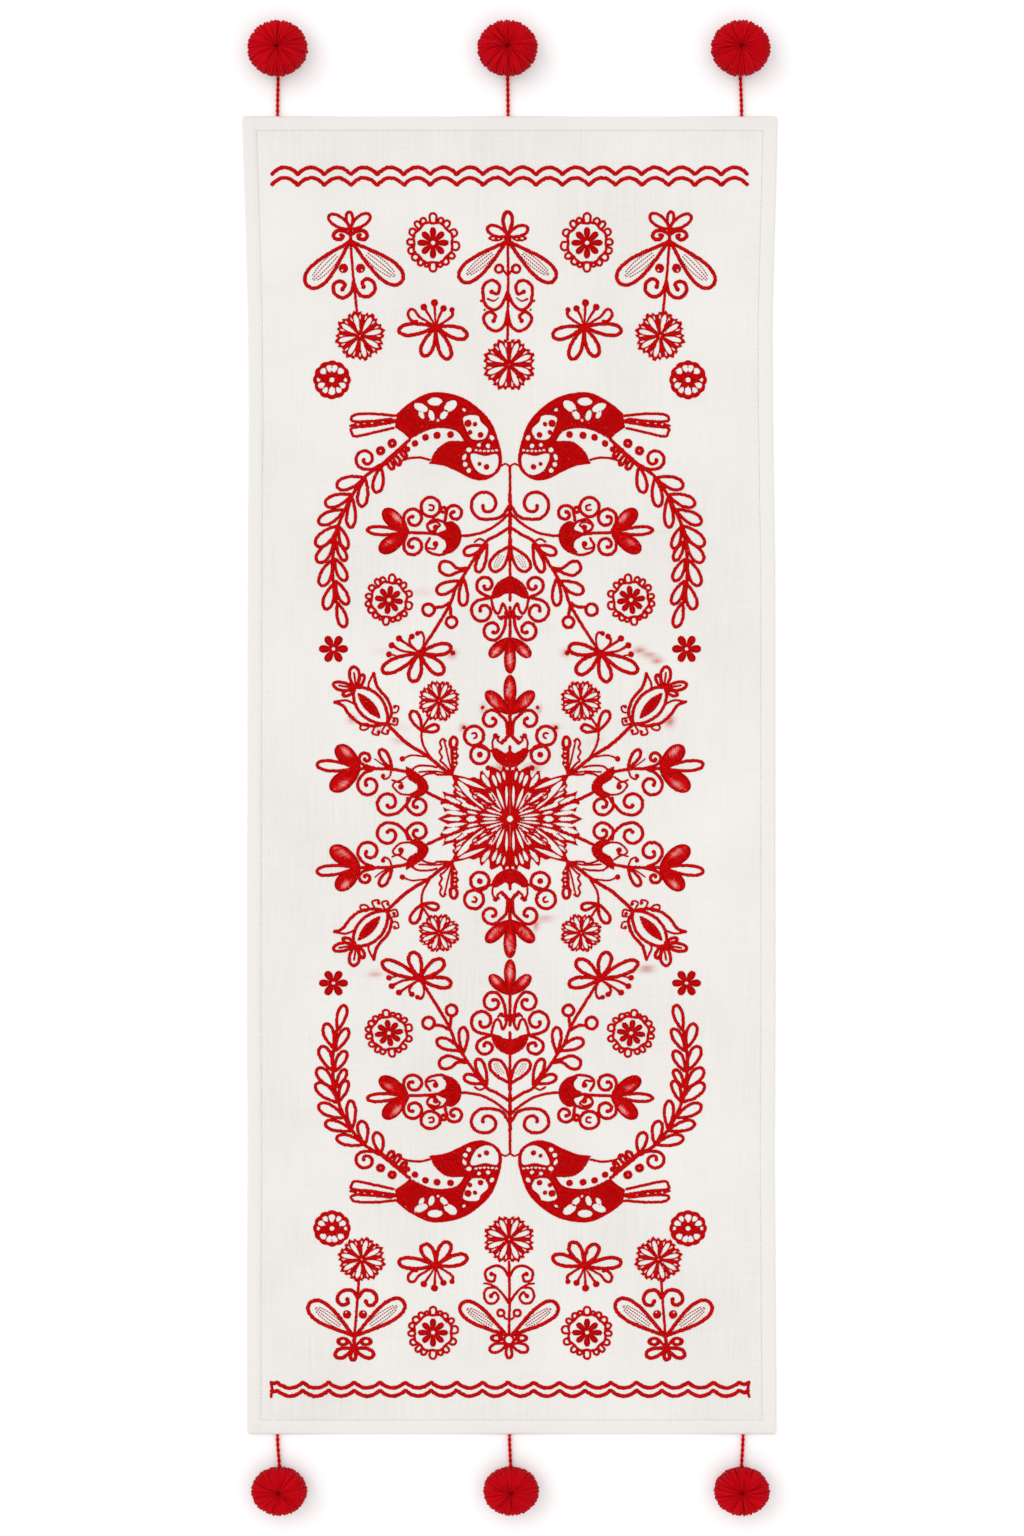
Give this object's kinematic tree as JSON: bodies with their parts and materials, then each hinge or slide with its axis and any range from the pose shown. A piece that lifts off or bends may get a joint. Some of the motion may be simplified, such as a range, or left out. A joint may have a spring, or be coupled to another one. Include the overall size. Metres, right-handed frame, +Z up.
{
  "type": "embroidered table runner",
  "caption": "Hemmed white cloth runner, lying flat, with red folk embroidery all over its face and yarn pompoms on short twisted cords beyond both short edges.",
  "frame": {"origin": "middle of the cloth's underside, on the surface that the runner lies on", "axes": "+Y along the runner, towards the end with the longer cords and larger pompoms; +X across it; +Z up from the table, out of the embroidered face"},
  "size_m": [0.4061, 1.1304, 0.034],
  "materials": {
    "cloth": "plain woven cotton or linen, off-white, matt, washed and ironed",
    "yarn": "bright red cotton yarn and thread, soft satin sheen along the strand"
  },
  "bodies": {
    "root": {"cloth": "cloth", "cord_top_left": "yarn", "cord_top_middle": "yarn", "cord_top_right": "yarn", "cord_bottom_left": "yarn", "cord_bottom_middle": "yarn", "cord_bottom_right": "yarn", "pompom_top_left": "yarn", "pompom_top_middle": "yarn", "pompom_top_right": "yarn", "pompom_bottom_left": "yarn", "pompom_bottom_middle": "yarn", "pompom_bottom_right": "yarn"}
  },
  "joints": []
}
